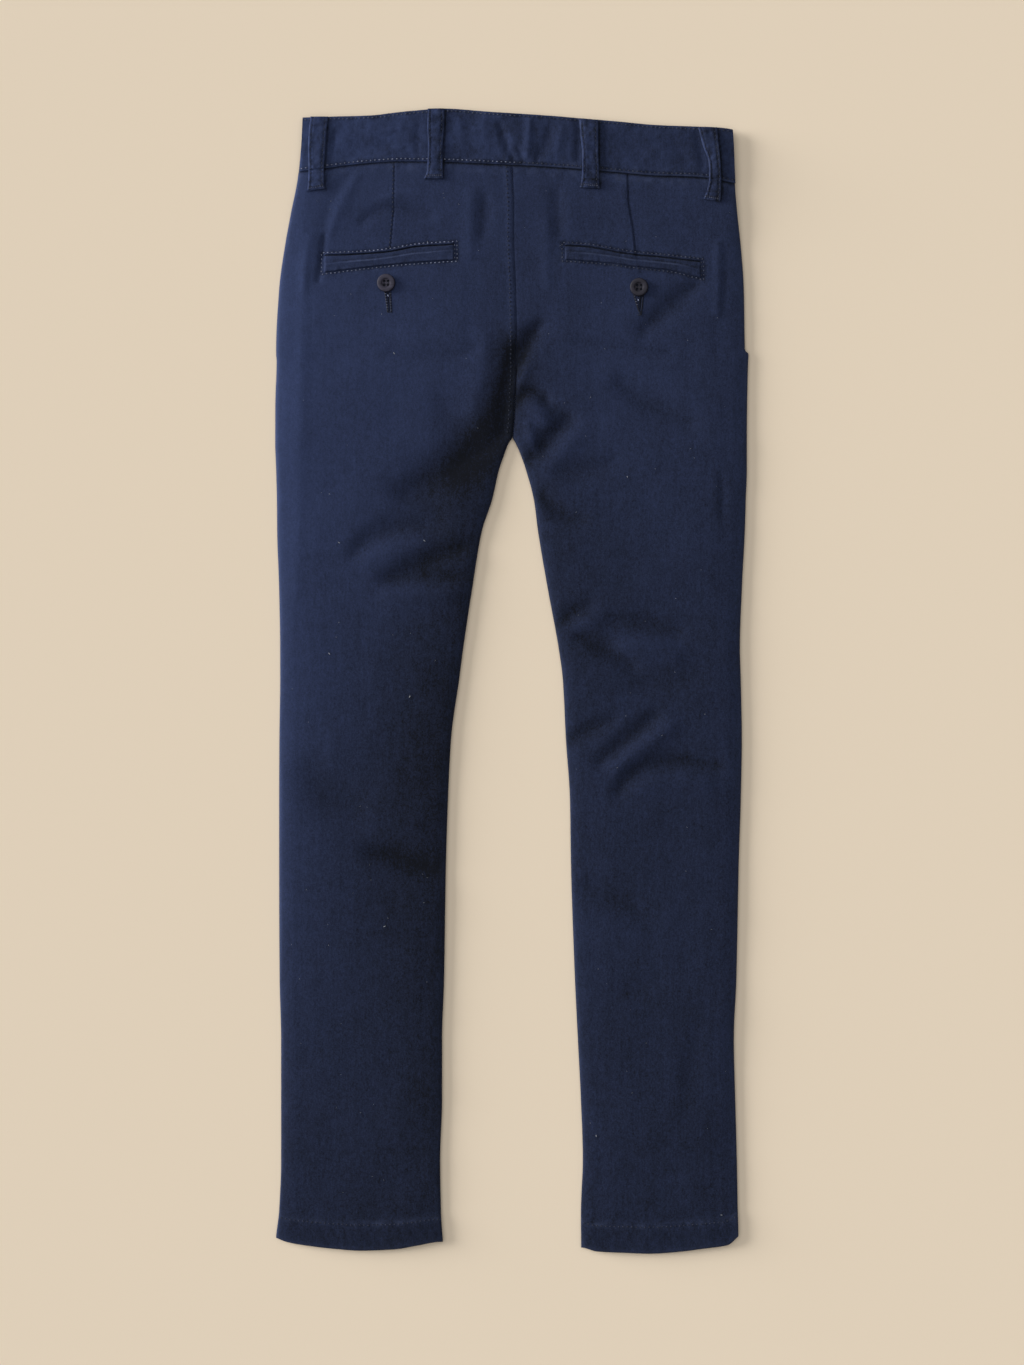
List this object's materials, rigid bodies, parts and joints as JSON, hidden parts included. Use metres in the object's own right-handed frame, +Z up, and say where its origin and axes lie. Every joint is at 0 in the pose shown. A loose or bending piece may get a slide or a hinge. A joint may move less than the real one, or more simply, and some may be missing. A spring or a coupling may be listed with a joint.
{
  "type": "child's chino trousers laid flat with the back up",
  "caption": "Slim child's chino trousers laid flat, back up: waistband with belt loops, darts, buttoned welt pockets and stitched hems.",
  "frame": {"origin": "middle of the laid-flat trousers' outline, on the surface that they lie on", "axes": "+X across to the wearer's right leg, +Y from the hems to the waistband, +Z up, out of the back of the garment"},
  "size_m": [0.36, 0.8701, 0.0146],
  "materials": {
    "twill": "navy cotton twill, softly brushed",
    "thread": "navy sewing thread",
    "zip": "dark navy zip tape",
    "button": "dark grey-blue horn-look plastic"
  },
  "bodies": {
    "root": {"front_left": "twill", "front_right": "twill", "pocket_facing_left": "twill", "pocket_facing_right": "twill", "back_left": "twill", "back_right": "twill", "waistband_back": "twill", "waistband_front_left": "twill", "waistband_front_right": "twill", "belt_loop_1": "twill", "belt_loop_2": "twill", "belt_loop_3": "twill", "belt_loop_4": "twill", "belt_loop_5": "twill", "belt_loop_6": "twill", "welt_left": "twill", "welt_right": "twill", "fly_zip": "zip", "back_button_left": "button", "back_button_right": "button", "waist_button": "button"}
  },
  "joints": []
}
